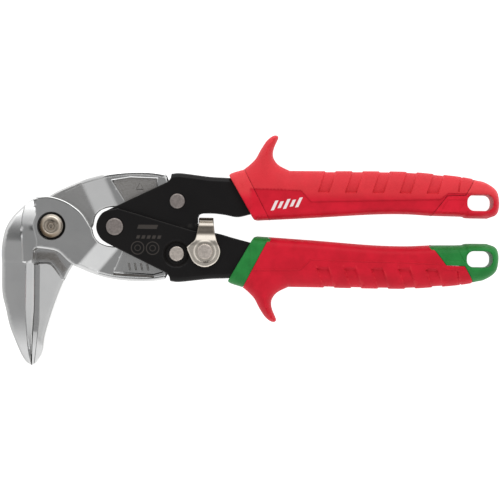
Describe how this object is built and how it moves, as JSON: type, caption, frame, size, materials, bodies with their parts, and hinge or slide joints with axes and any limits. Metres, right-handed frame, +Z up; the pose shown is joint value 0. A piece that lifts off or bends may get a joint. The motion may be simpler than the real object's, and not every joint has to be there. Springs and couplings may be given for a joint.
{
  "type": "aviation snips",
  "caption": "Right-angle compound-action metal snips with downturned offset blades, stamped frames, return spring, thumb latch and two-piece grips with lanyard slots.",
  "frame": {"origin": "centre of the bottom of the tool as it lies flat and closed", "axes": "+X along the handles away from the head, +Z up along every pivot axis, blades toward -Y"},
  "size_m": [0.2452, 0.1154, 0.0232],
  "materials": {
    "forged_steel": "satin forged and ground",
    "nickel": "polished nickel plate",
    "black_steel": "black oxide",
    "zinc_steel": "satin plated",
    "spring_steel": "drawn wire",
    "black_paint": "satin black coat",
    "red_plastic": "satin",
    "red_rubber": "soft overmould",
    "green_plastic": "satin"
  },
  "bodies": {
    "lower_handle": {"lower_handle_frame": "black_paint", "lower_arm_rivet": "zinc_steel", "handle_rivet": "zinc_steel", "handle_spacer": "zinc_steel", "latch_rivet": "zinc_steel", "latch_washer": "zinc_steel", "lower_grip_core": "green_plastic", "lower_grip_sleeve": "red_rubber"},
    "upper_handle": {"upper_handle_frame": "black_paint", "upper_arm_rivet": "zinc_steel", "upper_grip_core": "red_plastic", "upper_grip_sleeve": "red_rubber"},
    "front_jaw": {"front_jaw": "forged_steel", "pivot_bolt": "nickel", "bolt_washer": "black_steel", "pivot_washer": "zinc_steel", "pivot_nut": "zinc_steel", "return_spring": "spring_steel"},
    "rear_jaw": {"rear_jaw": "forged_steel"},
    "latch": {"latch_lever": "nickel"}
  },
  "joints": [
    {"name": "handle_open", "type": "hinge", "parent": "lower_handle", "child": "upper_handle", "pos_m": [-0.06707, 0.01153, 0.01], "axis": [0, 0, 1], "range_deg": [0, 28]},
    {"name": "lower_arm_pivot", "type": "hinge", "parent": "lower_handle", "child": "front_jaw", "pos_m": [-0.03637, -0.00147, 0.01], "axis": [0, 0, 1], "range_deg": [0, 7.4]},
    {"name": "jaw_pivot", "type": "hinge", "parent": "front_jaw", "child": "rear_jaw", "pos_m": [-0.09837, 0.01153, 0.01], "axis": [0, 0, 1], "range_deg": [0, 13.4], "deforming": ["return_spring"]},
    {"name": "latch_swing", "type": "hinge", "parent": "lower_handle", "child": "latch", "pos_m": [-0.02237, -0.00017, 0.019], "axis": [0, 0, 1], "range_deg": [-35, 9]}
  ],
  "couplings": [
    {"joint": "lower_arm_pivot", "follows": "handle_open", "ratio": 0.26215},
    {"joint": "jaw_pivot", "follows": "handle_open", "ratio": 0.4757}
  ]
}
